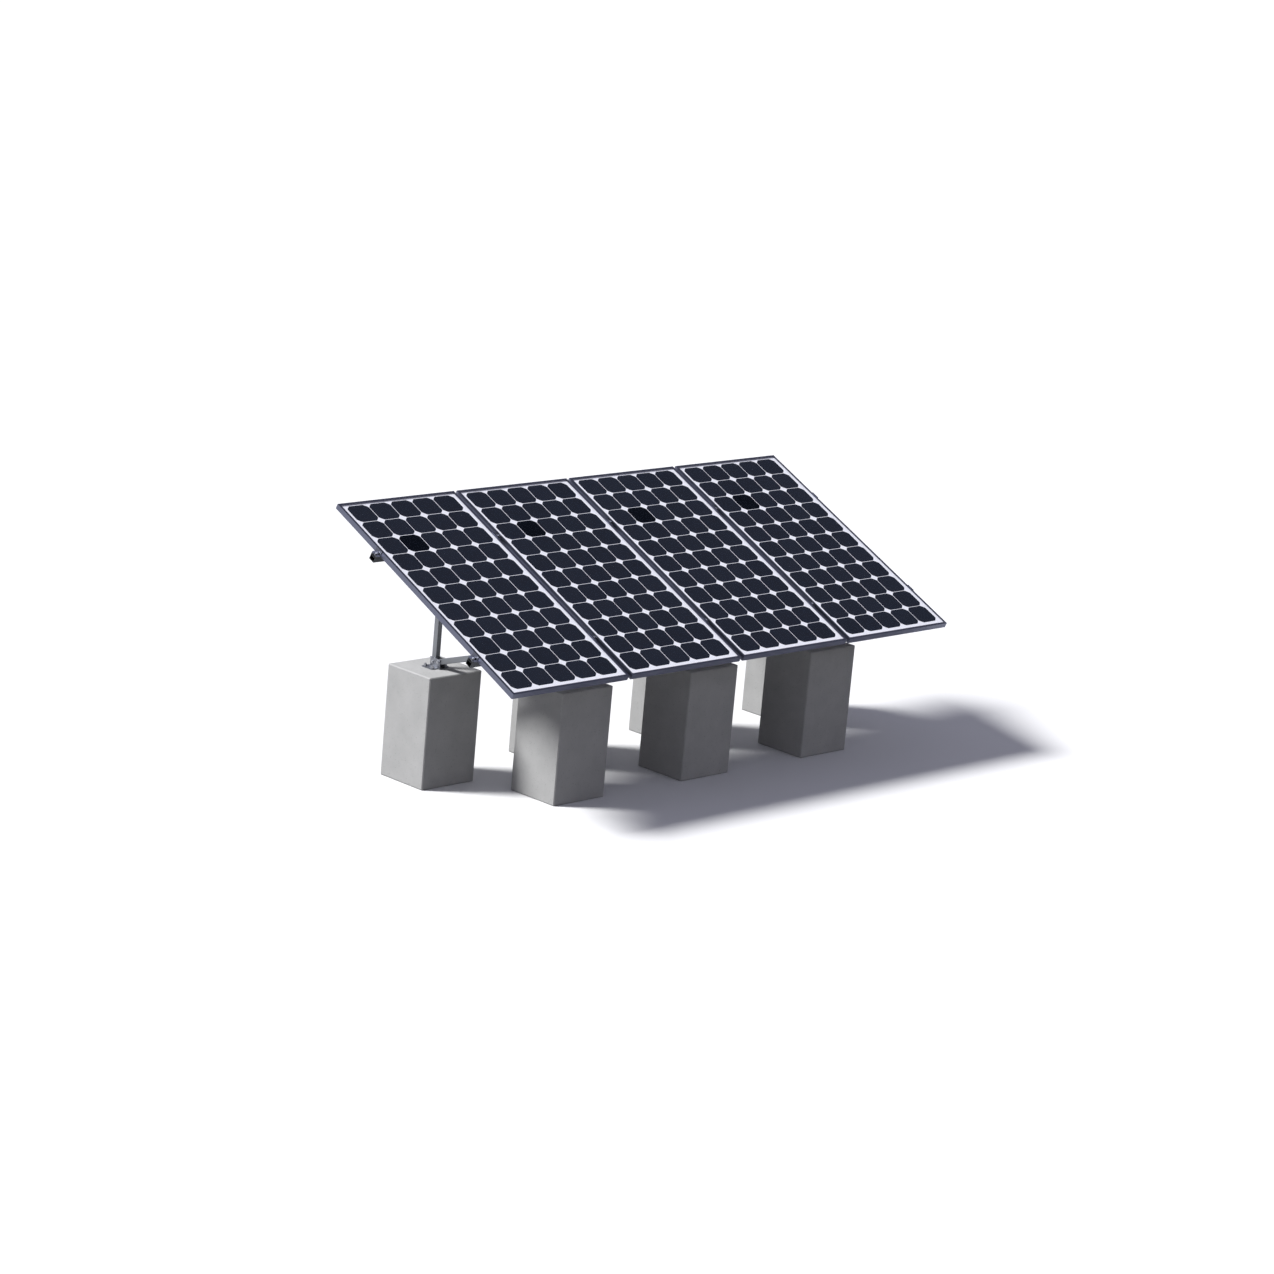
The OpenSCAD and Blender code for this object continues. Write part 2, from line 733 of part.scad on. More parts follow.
module module_glass(x) {
    color([0.75, 0.82, 0.9, 0.3]) on_module(x) translate([0, 0, -frame_wall - glass_t])
        linear_extrude(glass_t) square([laminate_w, laminate_l], center = true);
}

module module_cells(x) {
    color([0.1, 0.11, 0.16]) on_module(x) translate([0, 0, -frame_wall - glass_t - cell_t])
        for (i = [0:cell_cols - 1], j = [0:cell_rows - 1])
            translate([(i - (cell_cols - 1) / 2) * pitch, (j - (cell_rows - 1) / 2) * pitch, 0])
                linear_extrude(cell_t) intersection() {
                    square(cell_size, center = true);
                    circle(d = wafer_d);
                }
}

module module_backsheet(x) {
    color([0.95, 0.95, 0.96]) on_module(x) translate([0, 0, shelf_z])
        linear_extrude(sheet_t) square([laminate_w, laminate_l], center = true);
}

module junction_box() {
    round_r = jbox_h / 4;
    translate([0, 0, -jbox_h * 3 / 4]) linear_extrude(jbox_h * 3 / 4) rounded(jbox_w, jbox_l, round_r);
    translate([0, 0, -jbox_h]) linear_extrude(jbox_h / 4 + over)
        rounded(jbox_w - round_r, jbox_l - round_r, round_r);
    for (x = [-1, 1]) translate([x * jbox_w / 3, -jbox_l / 2, -jbox_h / 2]) along_y() {
        translate([0, 0, -over]) cylinder(d = gland_d, h = gland_l / 2 + over, $fn = hex);
        cylinder(d = gland_d * 3 / 4, h = gland_l);
    }
}

module junction_boxes() {
    color([0.08, 0.08, 0.09]) for (x = module_x) on_module(x)
        translate([0, module_l / 2 - jbox_in, shelf_z]) junction_box();
}

module corner_key() {
    thick = lip_w - 2 * frame_wall - 2 * fit;
    translate([frame_wall + fit, frame_wall + fit, chamber_top - chamber_h + fit]) {
        cube([key_leg, thick, chamber_h - 2 * fit]);
        cube([thick, key_leg, chamber_h - 2 * fit]);
    }
}

module corner_keys() {
    color([0.7, 0.71, 0.73]) for (x = module_x) on_module(x) for (right = [0, 1], top = [0, 1])
        mirror([right, 0, 0]) mirror([0, top, 0]) translate([-module_w / 2, -module_l / 2, 0]) corner_key();
}

for (i = [1:rear_posts]) {
    foot = [rear_x[i - 1], rear_reach];
    block(foot);
    shoe(foot, true);
    post(foot, rear_top) head_hole();
    rafter(rear_x[i - 1]);
}
for (i = [1:front_posts]) {
    foot = [front_x[i - 1], front_reach];
    block(foot);
    shoe(foot, false);
    post(foot, front_top) saddle_hole();
}
rail(rail_low);  // rail_lower
rail(rail_high);  // rail_upper
front_bearer();
foot_ties();
head_brackets();
front_saddles();
angle_cleats();
mid_clamps();
end_clamps();
anchor_bolts();
shoe_screws();
frame_bolts();
clamp_bolts();
for (i = [1:module_count]) {
    x = module_x[i - 1];
    module_sides(x);
    module_ends(x);
    module_glass(x);
    module_cells(x);
    module_backsheet(x);
}
junction_boxes();
corner_keys();
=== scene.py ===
"""Looks of a row of four solar modules on a ground mount of posts and concrete blocks.

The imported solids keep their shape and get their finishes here. Lengths are in metres, X runs
along the row, Y runs back under the slope and Z is up.
"""

import math

import bmesh
import bpy
from mathutils import Matrix, Vector


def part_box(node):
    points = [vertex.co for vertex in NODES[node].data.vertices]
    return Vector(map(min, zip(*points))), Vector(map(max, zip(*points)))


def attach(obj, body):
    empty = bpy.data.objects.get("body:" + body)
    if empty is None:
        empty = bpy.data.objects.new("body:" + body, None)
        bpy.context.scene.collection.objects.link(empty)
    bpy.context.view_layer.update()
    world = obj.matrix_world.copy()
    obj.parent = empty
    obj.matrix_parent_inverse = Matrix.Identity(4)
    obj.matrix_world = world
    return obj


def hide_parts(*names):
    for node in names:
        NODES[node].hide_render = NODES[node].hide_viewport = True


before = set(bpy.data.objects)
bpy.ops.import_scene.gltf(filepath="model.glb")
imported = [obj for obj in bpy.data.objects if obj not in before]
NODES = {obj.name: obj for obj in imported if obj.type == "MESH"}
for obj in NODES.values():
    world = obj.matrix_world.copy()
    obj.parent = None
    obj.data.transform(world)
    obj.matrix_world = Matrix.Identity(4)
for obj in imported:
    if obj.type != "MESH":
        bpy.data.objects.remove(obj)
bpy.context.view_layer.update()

MODULES = 4

# The cells of a module: their number, the pitch of the columns and rows, the gap across a row,
# and the round wafer that a cell is cut from
CELL_COLUMNS = 5
CELL_ROWS = 11
COLUMN_PITCH = 0.1528
ROW_PITCH = 0.1416
CELL_GAP = 0.0042
WAFER_WIDTH = 0.1761
# How far the cells lie above the middle of their module
CELLS_UP = 0.003
# The cell in each module that is nearly black: its column and its row from the upper end
DARK_COLUMN = 2
DARK_ROW = 3

# The camera's place, and how it looks: heading from +Y towards +X, angle down, and roll
CAMERA_AT = (-14.448, -14.018, 5.707)
HEADING = 45.72
LOOK_DOWN = 14.07
ROLL = 5.16
LENS_MM = 105.5
FILM_MM = 36.0
SEEN_AS_FAR_AS = 2000.0

# The key light's direction from the object, as heading and height, and its width, in degrees
KEY_HEADING = -52.0
KEY_HEIGHT = 45.0
KEY_WIDTH = 14.0
KEY_STRENGTH = 4.8

# The room's colour at the horizon, and from ROOM_CHANGE up on a sphere of radius one
ROOM_LOW = (1.0, 1.0, 1.0, 1.0)
ROOM_HIGH = (0.236, 0.238, 0.298, 1.0)
ROOM_CHANGE = 0.2

# The floor as it is seen, and as it lights what is matt
FLOOR_SEEN = (0.84, 0.84, 0.84)
FLOOR_LIGHT = (0.14, 0.14, 0.14, 1.0)
FLOOR_REACH = 400.0


def slope_frame():
    """The middle of the modules' lower edge at glass height, and the tilt of the glass."""
    glass = NODES["module_1_glass"]
    upper = max(glass.data.polygons, key=lambda p: p.area * max(p.normal.z, 0.0))
    tilt = math.atan2(-upper.normal.y, upper.normal.z)
    low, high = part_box("module_1_sides")
    return Vector((0.0, low.y, high.z - (high.y - low.y) * math.tan(tilt))), tilt


def tie_rise():
    """How far the ties lean up from level, as the upper side of one has it."""
    faces = [p for p in NODES["foot_ties"].data.polygons if p.normal.z > 0.5]
    upper = max(faces, key=lambda p: p.area)
    return math.atan2(upper.normal.y, upper.normal.z)


SLOPE_AT, TILT = slope_frame()
ROW_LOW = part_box("module_1_sides")[0]
ROW_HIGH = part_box(f"module_{MODULES}_sides")[1]
MODULE_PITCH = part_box("module_2_sides")[0].x - ROW_LOW.x
MODULE_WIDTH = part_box("module_1_sides")[1].x - ROW_LOW.x
MODULE_LENGTH = (ROW_HIGH.y - ROW_LOW.y) / math.cos(TILT)
OUT_OF_GLASS = Vector((0.0, -math.sin(TILT), math.cos(TILT)))


# Shader building

# The middle span of a noise, and how fine a drawn profile's lines are
NOISE_LOW = 0.3
NOISE_HIGH = 0.7
LINE_FINENESS = 900.0


def add(tree, kind, inputs=None, **settings):
    """A new node with its settings made and its inputs set or linked."""
    made = tree.nodes.new(kind)
    for name, value in settings.items():
        setattr(made, name, value)
    for name, value in (inputs or {}).items():
        socket = made.inputs[name]
        if isinstance(value, bpy.types.NodeSocket):
            tree.links.new(value, socket)
        else:
            socket.default_value = value
    return made


def maths(tree, operation, *values):
    """The result of a Math node."""
    return add(tree, "ShaderNodeMath", dict(enumerate(values)), operation=operation).outputs[0]


def blend(tree, factor, low, high, mode="MIX"):
    """The result of a colour mix."""
    made = add(tree, "ShaderNodeMix", data_type="RGBA", blend_type=mode)
    for index, value in ((0, factor), (6, low), (7, high)):
        if isinstance(value, bpy.types.NodeSocket):
            tree.links.new(value, made.inputs[index])
        else:
            made.inputs[index].default_value = value
    return made.outputs[2]


def between(tree, value, low, high, to_low=0.0, to_high=1.0):
    """A value mapped from one range to another, held at its ends."""
    inputs = {"Value": value, "From Min": low, "From Max": high, "To Min": to_low, "To Max": to_high}
    return add(tree, "ShaderNodeMapRange", inputs).outputs["Result"]


def noise(tree, place, scale, detail=3.0, roughness=0.5):
    """A noise texture's value."""
    inputs = {"Vector": place, "Scale": scale, "Detail": detail, "Roughness": roughness}
    return add(tree, "ShaderNodeTexNoise", inputs).outputs["Fac"]


def shade(colour, amount):
    """A colour made lighter or darker by a factor, as four numbers."""
    return tuple(min(c * amount, 1.0) for c in colour[:3]) + (1.0,)


def spread(tree, value, low=0.0, high=1.0):
    """A noise with its middle span, where nearly all its values lie, stretched to a range."""
    return between(tree, value, NOISE_LOW, NOISE_HIGH, low, high)


def tones(tree, factor, base, darker, lighter):
    """A colour that changes from darker to lighter than its base."""
    return blend(tree, factor, shade(base, darker), shade(base, lighter))


def new_group(name, inputs, outputs):
    """An empty node group with named sockets, each a kind and a default."""
    tree = bpy.data.node_groups.new(name, "ShaderNodeTree")
    for label, (kind, value) in inputs.items():
        socket = tree.interface.new_socket(label, in_out="INPUT", socket_type="NodeSocket" + kind)
        if value is not None:
            socket.default_value = value
    for label, kind in outputs.items():
        tree.interface.new_socket(label, in_out="OUTPUT", socket_type="NodeSocket" + kind)
    return tree, tree.nodes.new("NodeGroupInput").outputs, tree.nodes.new("NodeGroupOutput").inputs


def use(tree, group, inputs):
    """A group placed in a material with its own values."""
    made = tree.nodes.new("ShaderNodeGroup")
    made.node_tree = group
    for name, value in inputs.items():
        if isinstance(value, bpy.types.NodeSocket):
            tree.links.new(value, made.inputs[name])
        else:
            made.inputs[name].default_value = value
    return made.outputs


def slope_place_group():
    """The object's own coordinates on the slope: along the row, up the slope, out of the glass."""
    tree, _, outputs = new_group("Place on the slope", {}, {"Vector": "Vector"})
    place = add(tree, "ShaderNodeTexCoord").outputs["Object"]
    moved = add(tree, "ShaderNodeVectorMath", {0: place, 1: SLOPE_AT}, operation="SUBTRACT").outputs[0]
    turned = add(tree, "ShaderNodeVectorRotate", {"Vector": moved, "Angle": -TILT}, rotation_type="X_AXIS")
    tree.links.new(turned.outputs[0], outputs["Vector"])
    return tree


def drawn_lines_group():
    """Fine lines along X, as a die leaves them on a drawn profile, and slow changes of tone."""
    tree, inputs, outputs = new_group(
        "Drawn lines",
        {"Vector": ("Vector", None), "Fineness": ("Float", LINE_FINENESS)},
        {"Lines": "Float", "Tone": "Float"},
    )
    long_way = add(tree, "ShaderNodeMapping", {"Vector": inputs["Vector"], "Scale": (0.012, 1.0, 1.0)})
    lines = noise(tree, long_way.outputs[0], inputs["Fineness"], detail=2.0)
    broad = add(tree, "ShaderNodeMapping", {"Vector": inputs["Vector"], "Scale": (0.25, 1.0, 1.0)})
    tone = noise(tree, broad.outputs[0], scale=14.0, detail=4.0, roughness=0.6)
    tree.links.new(lines, outputs["Lines"])
    tree.links.new(tone, outputs["Tone"])
    return tree


def specks_group():
    """Sparse small specks, from 0 to 1, a slow mottle and a fine grit."""
    tree, inputs, outputs = new_group(
        "Specks",
        {"Vector": ("Vector", None), "Scale": ("Float", 300.0), "Share": ("Float", 0.3)},
        {"Specks": "Float", "Mottle": "Float", "Grit": "Float"},
    )
    cells = add(
        tree,
        "ShaderNodeTexVoronoi",
        {"Vector": inputs["Vector"], "Scale": inputs["Scale"], "Randomness": 1.0},
    ).outputs["Distance"]
    wide = maths(tree, "MULTIPLY", inputs["Share"], 0.8)
    specks = between(tree, cells, wide, 0.02, 0.0, 1.0)
    patches = noise(tree, inputs["Vector"], scale=60.0, detail=2.0)
    thin_out = between(tree, patches, 0.5, 0.62)
    tree.links.new(maths(tree, "MULTIPLY", specks, thin_out), outputs["Specks"])
    mottle = noise(tree, inputs["Vector"], scale=7.0, detail=5.0, roughness=0.62)
    tree.links.new(mottle, outputs["Mottle"])
    grit = noise(tree, inputs["Vector"], scale=650.0, detail=3.0, roughness=0.7)
    tree.links.new(grit, outputs["Grit"])
    return tree


SLOPE_PLACE = slope_place_group()
DRAWN_LINES = drawn_lines_group()
SPECKS = specks_group()


def new_material(name, base, roughness, metallic=0.0):
    """A material with its Principled shader, and its tree."""
    material = bpy.data.materials.new(name)
    material.use_nodes = True
    tree = material.node_tree
    shader = tree.nodes["Principled BSDF"]
    shader.inputs["Base Color"].default_value = shade(base, 1.0)
    shader.inputs["Roughness"].default_value = roughness
    shader.inputs["Metallic"].default_value = metallic
    return material, tree, shader


def object_place(tree):
    """The object's own coordinates."""
    return add(tree, "ShaderNodeTexCoord").outputs["Object"]


def turned_place(tree, along):
    """Coordinates whose X runs along a profile: along the row, up the slope, up a tie or upright."""
    if along == "row":
        return use(tree, SLOPE_PLACE, {})["Vector"]
    if along in ("slope", "tie"):
        place = use(tree, SLOPE_PLACE, {})["Vector"]
        if along == "tie":
            turn = {"Vector": object_place(tree), "Angle": tie_rise()}
            place = add(tree, "ShaderNodeVectorRotate", turn, rotation_type="X_AXIS").outputs[0]
        return add(
            tree,
            "ShaderNodeVectorRotate",
            {"Vector": place, "Angle": math.pi / 2},
            rotation_type="Z_AXIS",
        ).outputs[0]
    return add(
        tree,
        "ShaderNodeVectorRotate",
        {"Vector": object_place(tree), "Angle": math.pi / 2},
        rotation_type="Y_AXIS",
    ).outputs[0]


def bump(tree, shader, height, distance, strength=1.0):
    """Lets a height stand out of the surface, by a distance in metres."""
    made = add(tree, "ShaderNodeBump", {"Height": height, "Distance": distance, "Strength": strength})
    tree.links.new(made.outputs["Normal"], shader.inputs["Normal"])


# Finishes

WHITE = (1.0, 1.0, 1.0)
POST_GREY = (0.24, 0.25, 0.265)
RAIL_GREY = (0.085, 0.09, 0.098)
SLATE = (0.145, 0.154, 0.206)
CLAMP_GREY = (0.115, 0.12, 0.15)
CELL_NAVY = (0.0188, 0.0214, 0.031)
CELL_CLOUD = (0.0168, 0.0222, 0.0355, 1.0)
CELL_DARK = (0.0038, 0.005, 0.0082, 1.0)
# The glass: the tint and blur of what it reflects, how clear it is, and its coating's weak index
GLASS_TINT = (0.64, 0.76, 1.0)
GLASS_ROUGHNESS = 0.36
GLASS_CLEAR = (0.99, 0.99, 0.996, 1.0)
COATING_IOR = 1.07


def drawn_metal(name, base, roughness, along, tone=0.12):
    """A drawn aluminium profile, with lines along its length."""
    material, tree, shader = new_material(name, base, roughness, metallic=1.0)
    place = turned_place(tree, along)
    lines = use(tree, DRAWN_LINES, {"Vector": place, "Fineness": LINE_FINENESS})
    toned = tones(tree, lines["Tone"], base, 1.0 - tone, 1.0 + tone)
    streak = spread(tree, lines["Lines"], 0.94, 1.06)
    lined = add(tree, "ShaderNodeVectorMath", {0: toned, "Scale": streak}, operation="SCALE").outputs[0]
    tree.links.new(lined, shader.inputs["Base Color"])
    rough = spread(tree, lines["Tone"], roughness - 0.05, roughness + 0.07)
    tree.links.new(rough, shader.inputs["Roughness"])
    bump(tree, shader, lines["Lines"], distance=0.00004)
    return material


def concrete():
    """Pale cast concrete: fine sand, a slow mottle and small open pores, with painted shade inside the
    pores.
    """
    base = (0.47, 0.47, 0.465)
    material, tree, shader = new_material("cast concrete", base, roughness=0.86)
    place = object_place(tree)
    marks = use(tree, SPECKS, {"Vector": place, "Scale": 95.0, "Share": 0.34})
    mottled = tones(tree, spread(tree, marks["Mottle"]), base, 0.93, 1.06)
    gritty = tones(tree, spread(tree, marks["Grit"]), WHITE, 0.93, 1.0)
    sandy = blend(tree, 1.0, mottled, gritty, "MULTIPLY")
    # The open pores dent the bump and are also painted darker: painted shade inside them
    painted_pore_shade = 0.45
    pores_shaded = blend(tree, marks["Specks"], sandy, shade(base, painted_pore_shade))
    tree.links.new(pores_shaded, shader.inputs["Base Color"])
    pore_depth = -2.5
    pores_down = maths(tree, "MULTIPLY", marks["Specks"], pore_depth)
    height = maths(tree, "ADD", pores_down, marks["Grit"])
    bump(tree, shader, height, distance=0.0006, strength=0.8)
    shader.inputs["Specular IOR Level"].default_value = 0.3
    return material


def galvanised():
    """Hot-dip zinc with its flat crystals."""
    base = (0.3, 0.31, 0.34)
    material, tree, shader = new_material("hot-dip zinc", base, roughness=0.42, metallic=1.0)
    place = object_place(tree)
    crystals = add(tree, "ShaderNodeTexVoronoi", {"Vector": place, "Scale": 130.0})
    tone = add(tree, "ShaderNodeSeparateColor", {"Color": crystals.outputs["Color"]}).outputs[0]
    toned = tones(tree, tone, base, 0.82, 1.2)
    tree.links.new(toned, shader.inputs["Base Color"])
    tree.links.new(between(tree, tone, 0.0, 1.0, 0.34, 0.52), shader.inputs["Roughness"])
    bump(tree, shader, noise(tree, place, scale=220.0), distance=0.0002, strength=0.6)
    return material


def plated():
    """Bright zinc plating of the bolts."""
    base = (0.52, 0.53, 0.56)
    material, tree, shader = new_material("bright plating", base, roughness=0.3, metallic=1.0)
    place = object_place(tree)
    marks = use(tree, SPECKS, {"Vector": place, "Scale": 500.0, "Share": 0.3})
    toned = tones(tree, marks["Mottle"], base, 0.85, 1.1)
    tree.links.new(toned, shader.inputs["Base Color"])
    tree.links.new(spread(tree, marks["Grit"], 0.24, 0.38), shader.inputs["Roughness"])
    bump(tree, shader, marks["Grit"], distance=0.00005)
    return material


def cell_silicon():
    """Navy silicon. Each cell has a shade of its own, and one in each module is nearly black."""
    base = CELL_NAVY
    material, tree, shader = new_material("navy silicon", base, roughness=0.42)
    place = use(tree, SLOPE_PLACE, {})["Vector"]
    axes = add(tree, "ShaderNodeSeparateXYZ", {"Vector": place}).outputs
    from_left = maths(tree, "SUBTRACT", axes["X"], ROW_LOW.x)
    in_module = maths(tree, "MODULO", from_left, MODULE_PITCH)
    module = maths(tree, "FLOOR", maths(tree, "DIVIDE", from_left, MODULE_PITCH))
    side = (MODULE_WIDTH - CELL_COLUMNS * COLUMN_PITCH) / 2
    end = (MODULE_LENGTH - CELL_ROWS * ROW_PITCH) / 2 - CELLS_UP
    across = maths(tree, "DIVIDE", maths(tree, "SUBTRACT", in_module, side), COLUMN_PITCH)
    from_top = maths(tree, "SUBTRACT", MODULE_LENGTH - end, axes["Y"])
    down = maths(tree, "DIVIDE", from_top, ROW_PITCH)
    column = maths(tree, "FLOOR", across)
    row = maths(tree, "FLOOR", down)
    in_column = maths(tree, "COMPARE", column, DARK_COLUMN - 1.0, 0.5)
    in_row = maths(tree, "COMPARE", row, DARK_ROW - 1.0, 0.5)
    dark = maths(tree, "MULTIPLY", in_column, in_row)
    name = add(tree, "ShaderNodeCombineXYZ", {"X": column, "Y": row, "Z": module}).outputs[0]
    chance = add(tree, "ShaderNodeTexWhiteNoise", {"Vector": name}).outputs["Value"]
    shades = tones(tree, chance, base, 0.9, 1.12)
    cloud = noise(tree, place, scale=22.0)
    clouded = blend(tree, spread(tree, cloud, 0.0, 0.5), shades, CELL_CLOUD)
    coloured = blend(tree, dark, clouded, CELL_DARK)
    tree.links.new(coloured, shader.inputs["Base Color"])
    tree.links.new(between(tree, chance, 0.0, 1.0, 0.38, 0.46), shader.inputs["Roughness"])
    shader.inputs["Specular IOR Level"].default_value = 0.0
    return material


def clear_glass():
    """Clear glass with a coating that reflects little. Light goes straight through it."""
    material, tree, shader = new_material("coated glass", GLASS_TINT, GLASS_ROUGHNESS, metallic=1.0)
    place = use(tree, SLOPE_PLACE, {})["Vector"]
    waves = noise(tree, place, scale=3.0, detail=2.0)
    bump(tree, shader, waves, distance=0.0004, strength=0.3)
    mirror = add(tree, "ShaderNodeFresnel", {"IOR": COATING_IOR}).outputs["Fac"]
    front = maths(tree, "SUBTRACT", 1.0, add(tree, "ShaderNodeNewGeometry").outputs["Backfacing"])
    clear = add(tree, "ShaderNodeBsdfTransparent", {"Color": GLASS_CLEAR})
    factor = maths(tree, "MULTIPLY", mirror, front)
    mixed = add(tree, "ShaderNodeMixShader", {0: factor, 1: clear.outputs[0], 2: shader.outputs[0]})
    tree.links.new(mixed.outputs[0], tree.nodes["Material Output"].inputs["Surface"])
    return material


def white_film():
    """The back sheet: a white film, a little uneven."""
    base = (0.94, 0.945, 0.985)
    material, tree, shader = new_material("white film", base, roughness=0.5)
    place = use(tree, SLOPE_PLACE, {})["Vector"]
    marks = use(tree, SPECKS, {"Vector": place, "Scale": 220.0, "Share": 0.12})
    toned = tones(tree, marks["Mottle"], base, 0.975, 1.015)
    tree.links.new(toned, shader.inputs["Base Color"])
    bump(tree, shader, marks["Grit"], distance=0.00006, strength=0.5)
    return material


def moulded_black():
    """The junction boxes' moulded plastic."""
    base = (0.02, 0.02, 0.022)
    material, tree, shader = new_material("moulded black plastic", base, roughness=0.45)
    place = object_place(tree)
    marks = use(tree, SPECKS, {"Vector": place, "Scale": 800.0, "Share": 0.5})
    toned = tones(tree, marks["Mottle"], base, 0.8, 1.4)
    tree.links.new(toned, shader.inputs["Base Color"])
    tree.links.new(spread(tree, marks["Grit"], 0.4, 0.55), shader.inputs["Roughness"])
    bump(tree, shader, marks["Grit"], distance=0.00008, strength=0.7)
    return material


def finish_nodes(material, *names):
    """Puts one material on every node whose name starts with one of these."""
    for name, node in NODES.items():
        if name.startswith(names):
            node.data.materials.clear()
            node.data.materials.append(material)


finish_nodes(concrete(), "block_")
finish_nodes(galvanised(), "shoe_rear", "shoe_front", "head_brackets", "front_saddles", "angle_cleats")
finish_nodes(plated(), "anchor_bolts", "shoe_screws", "frame_bolts", "clamp_bolts")
finish_nodes(drawn_metal("upright aluminium", POST_GREY, 0.42, "upright"), "post_")
finish_nodes(drawn_metal("sloping aluminium", POST_GREY, 0.42, "slope"), "rafter_")
finish_nodes(drawn_metal("level aluminium", POST_GREY, 0.42, "row"), "front_bearer")
finish_nodes(drawn_metal("rising aluminium", POST_GREY, 0.42, "tie"), "foot_ties")
finish_nodes(drawn_metal("rail aluminium", RAIL_GREY, 0.38, "row"), "rail_")
finish_nodes(drawn_metal("clamp anodising", CLAMP_GREY, 0.36, "slope"), "mid_clamps", "end_clamps")
finish_nodes(drawn_metal("key aluminium", POST_GREY, 0.4, "row"), "corner_keys")
side_anodising = drawn_metal("anodising up the slope", SLATE, 0.34, "slope", tone=0.06)
end_anodising = drawn_metal("anodising along the row", SLATE, 0.34, "row", tone=0.06)
silicon = cell_silicon()
film = white_film()
glass = clear_glass()
for number in range(1, MODULES + 1):
    finish_nodes(side_anodising, f"module_{number}_sides")
    finish_nodes(end_anodising, f"module_{number}_ends")
    finish_nodes(film, f"module_{number}_backsheet")
finish_nodes(moulded_black(), "junction_boxes")


# Cells and glass panes


def cell_outline():
    """The outline of a cell round its middle: a square cut from a round wafer."""
    half = (COLUMN_PITCH - CELL_GAP) / 2
    radius = WAFER_WIDTH / 2
    first = math.acos(half / radius)
    arc_steps = 6
    points = []
    for corner in range(4):
        for step in range(arc_steps + 1):
            angle = corner * math.pi / 2 + first + (math.pi / 2 - 2 * first) * step / arc_steps
            points.append((radius * math.cos(angle), radius * math.sin(angle)))
    return points


def slope_point(x, up, out):
    """A point on the modules from its place along the row, up the slope and out of the glass."""
    y = SLOPE_AT.y + up * math.cos(TILT) - out * math.sin(TILT)
    return Vector((x, y, SLOPE_AT.z + up * math.sin(TILT) + out * math.cos(TILT)))


def cell_sheet(number):
    """The cells of one module, each a thin closed plate between the glass and the back sheet."""
    packed = NODES[f"module_{number}_cells"]
    levels = [(v.co - SLOPE_AT).dot(OUT_OF_GLASS) for v in packed.data.vertices]
    low, high = min(levels), max(levels)
    middle = ROW_LOW.x + (number - 1) * MODULE_PITCH + MODULE_WIDTH / 2
    middle_up = MODULE_LENGTH / 2 + CELLS_UP
    squeeze = ROW_PITCH / COLUMN_PITCH
    outline = cell_outline()
    mesh = bmesh.new()
    for column in range(CELL_COLUMNS):
        for row in range(CELL_ROWS):
            x = middle + (column - (CELL_COLUMNS - 1) / 2) * COLUMN_PITCH
            up = middle_up + (row - (CELL_ROWS - 1) / 2) * ROW_PITCH
            rings = [
                [mesh.verts.new(slope_point(x + px, up + py * squeeze, level)) for px, py in outline]
                for level in (low, high)
            ]
            mesh.faces.new(rings[0][::-1])
            mesh.faces.new(rings[1])
            for here in range(len(outline)):
                there = (here + 1) % len(outline)
                mesh.faces.new((rings[0][here], rings[0][there], rings[1][there], rings[1][here]))
    data = bpy.data.meshes.new(f"cell_sheet_{number}")
    mesh.to_mesh(data)
    mesh.free()
    data.materials.append(silicon)
    sheet = bpy.data.objects.new(f"cell_sheet_{number}", data)
    bpy.context.scene.collection.objects.link(sheet)
    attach(sheet, "root")
    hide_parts(packed.name)


def glass_pane(number):
    """A pane in place of the plain one, with ground edges and a hair of room over the cells."""
    film_room = 0.00025
    ground_edge = 0.0006
    same_place = 1e-5
    flat_angle = 0.01
    node = NODES[f"module_{number}_glass"]
    mesh = bmesh.new()
    mesh.from_mesh(node.data)
    bmesh.ops.remove_doubles(mesh, verts=mesh.verts, dist=same_place)
    bmesh.ops.dissolve_limit(mesh, angle_limit=flat_angle, verts=mesh.verts, edges=mesh.edges)
    lowest = min(v.co.dot(OUT_OF_GLASS) for v in mesh.verts)
    for v in mesh.verts:
        if v.co.dot(OUT_OF_GLASS) < lowest + film_room:
            v.co += OUT_OF_GLASS * film_room
    bmesh.ops.bevel(mesh, geom=mesh.edges[:], offset=ground_edge, segments=1, affect="EDGES")
    data = bpy.data.meshes.new(f"glass_pane_{number}")
    mesh.to_mesh(data)
    mesh.free()
    data.materials.append(glass)
    pane = bpy.data.objects.new(f"glass_pane_{number}", data)
    bpy.context.scene.collection.objects.link(pane)
    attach(pane, "root")
    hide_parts(node.name)


for number in range(1, MODULES + 1):
    cell_sheet(number)
    glass_pane(number)


# Floor, lights and camera


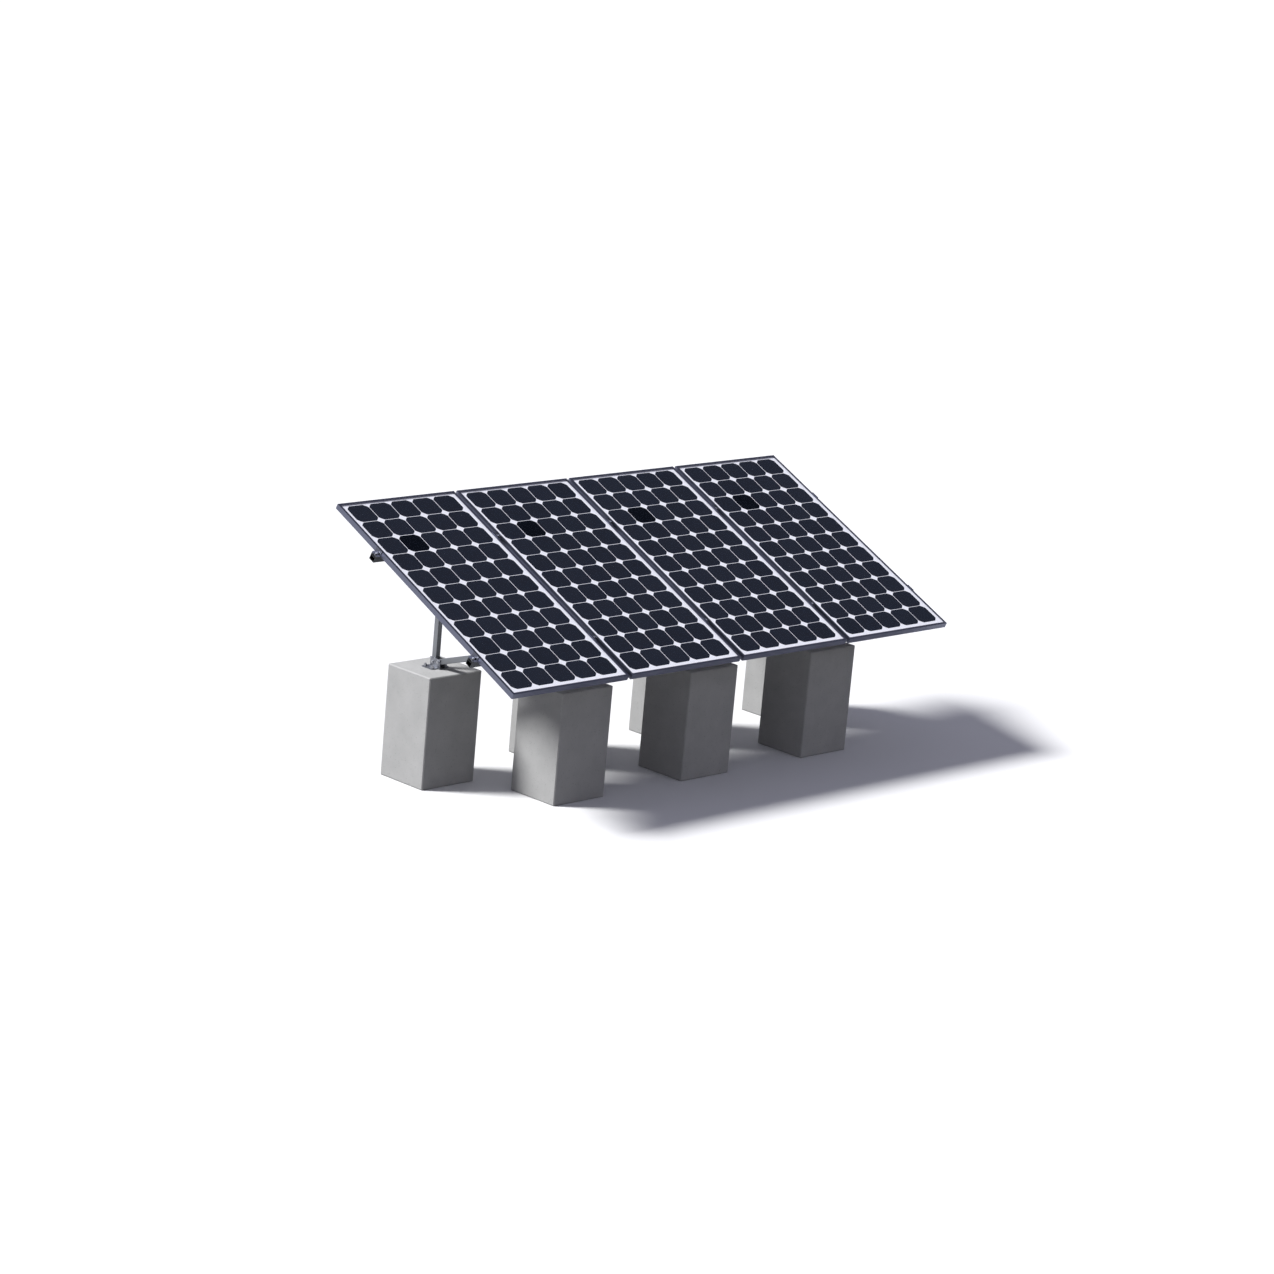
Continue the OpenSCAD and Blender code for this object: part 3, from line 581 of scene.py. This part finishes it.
def floor():
    """A wide pale floor. Matt surfaces get less light back from it than its paleness gives."""
    far = FLOOR_REACH
    corners = [(-far, -far, 0), (far, -far, 0), (far, far, 0), (-far, far, 0)]
    data = bpy.data.meshes.new("floor")
    data.from_pydata(corners, [], [(0, 1, 2, 3)])
    ground = bpy.data.objects.new("floor", data)
    bpy.context.scene.collection.objects.link(ground)
    material, tree, shader = new_material("pale floor", FLOOR_SEEN, roughness=0.9)
    shader.inputs["Specular IOR Level"].default_value = 0.0
    rays = add(tree, "ShaderNodeLightPath").outputs
    seen = maths(tree, "MAXIMUM", rays["Is Camera Ray"], rays["Is Glossy Ray"])
    seen = maths(tree, "MAXIMUM", seen, rays["Is Transmission Ray"])
    dim = add(tree, "ShaderNodeBsdfDiffuse", {"Color": FLOOR_LIGHT})
    mixed = add(tree, "ShaderNodeMixShader", {0: seen, 1: dim.outputs[0], 2: shader.outputs[0]})
    tree.links.new(mixed.outputs[0], tree.nodes["Material Output"].inputs["Surface"])
    data.materials.append(material)


def studio():
    """A soft room, pale at the horizon, and one broad lamp from the left and behind."""
    world = bpy.data.worlds.new("studio")
    bpy.context.scene.world = world
    world.use_nodes = True
    tree = world.node_tree
    place = add(tree, "ShaderNodeTexCoord").outputs["Generated"]
    up = add(tree, "ShaderNodeSeparateXYZ", {"Vector": place}).outputs["Z"]
    room = blend(tree, between(tree, up, 0.0, ROOM_CHANGE), ROOM_LOW, ROOM_HIGH)
    tree.links.new(room, tree.nodes["Background"].inputs["Color"])
    lamp = bpy.data.lights.new("key", "SUN")
    lamp.energy = KEY_STRENGTH
    lamp.angle = math.radians(KEY_WIDTH)
    key = bpy.data.objects.new("key", lamp)
    heading, height = math.radians(KEY_HEADING), math.radians(KEY_HEIGHT)
    towards = Vector((math.sin(heading), math.cos(heading), math.tan(height)))
    key.rotation_euler = towards.to_track_quat("Z", "Y").to_euler()
    bpy.context.scene.collection.objects.link(key)


def camera():
    """The camera at the photograph's viewing angle."""
    lens = bpy.data.cameras.new("camera")
    lens.lens = LENS_MM
    lens.sensor_width = FILM_MM
    lens.clip_end = SEEN_AS_FAR_AS
    eye = bpy.data.objects.new("camera", lens)
    heading = Matrix.Rotation(-math.radians(HEADING), 4, "Z")
    down = Matrix.Rotation(math.radians(90.0 - LOOK_DOWN), 4, "X")
    roll = Matrix.Rotation(math.radians(ROLL), 4, "Z")
    eye.matrix_world = Matrix.Translation(CAMERA_AT) @ heading @ down @ roll
    bpy.context.scene.collection.objects.link(eye)
    bpy.context.scene.camera = eye


floor()
studio()
camera()
bpy.context.scene.view_settings.view_transform = "Standard"
